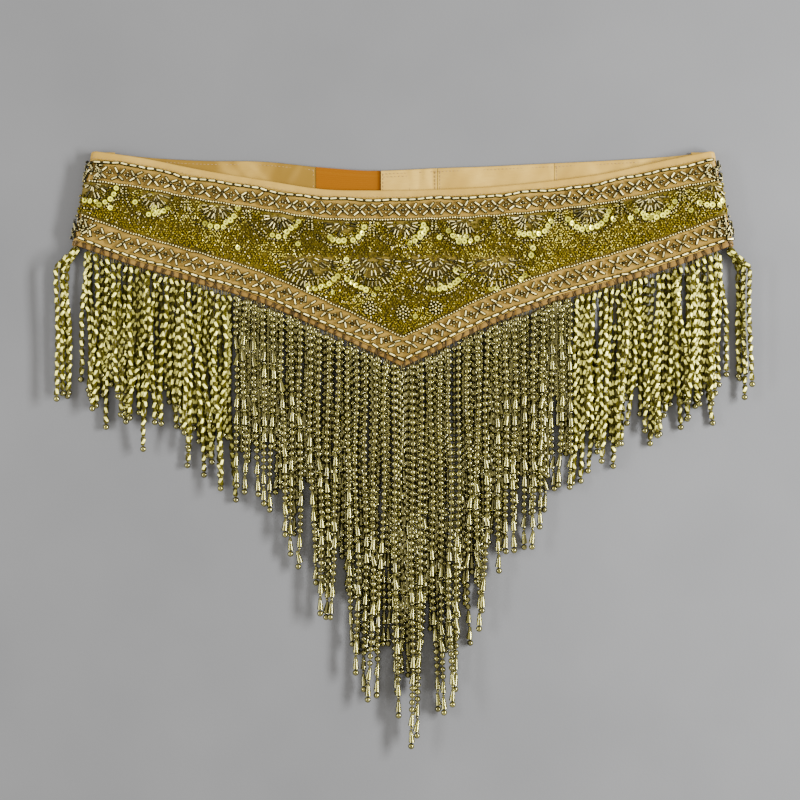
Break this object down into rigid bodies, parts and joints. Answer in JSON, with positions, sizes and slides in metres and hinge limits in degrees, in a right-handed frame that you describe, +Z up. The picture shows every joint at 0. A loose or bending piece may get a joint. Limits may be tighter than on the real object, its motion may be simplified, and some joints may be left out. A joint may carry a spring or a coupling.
{
  "type": "belly dance hip belt laid flat",
  "caption": "Belly dance hip belt laid flat: beaded V front panel folded round to a satin and elastic back band, with twisted-tube side fringes and a long V fringe of round beads and drops",
  "frame": {"origin": "centre of the footprint, on the surface that the belt lies on", "axes": "+X across the belt towards the side without the elastic, +Y from the fringe to the waist edge, +Z up out of the beaded side"},
  "size_m": [0.4478, 0.3818, 0.013],
  "materials": {
    "satin": "peach-gold satin, soft sheen",
    "elastic": "ribbed elastic, matt",
    "beading": "dense gold seed beads and sequins",
    "gold_beads": "metallised olive gold, shiny"
  },
  "bodies": {
    "root": {"front_panel": "satin", "waist_binding": "satin", "waist_border": "gold_beads", "bead_field": "beading", "hem_border": "gold_beads", "back_band_left": "satin", "elastic_insert": "elastic", "closure_tab": "satin", "back_band_middle": "satin", "back_band_right": "satin", "fringe_left": "gold_beads", "fringe_centre": "gold_beads", "fringe_right": "gold_beads"}
  },
  "joints": []
}
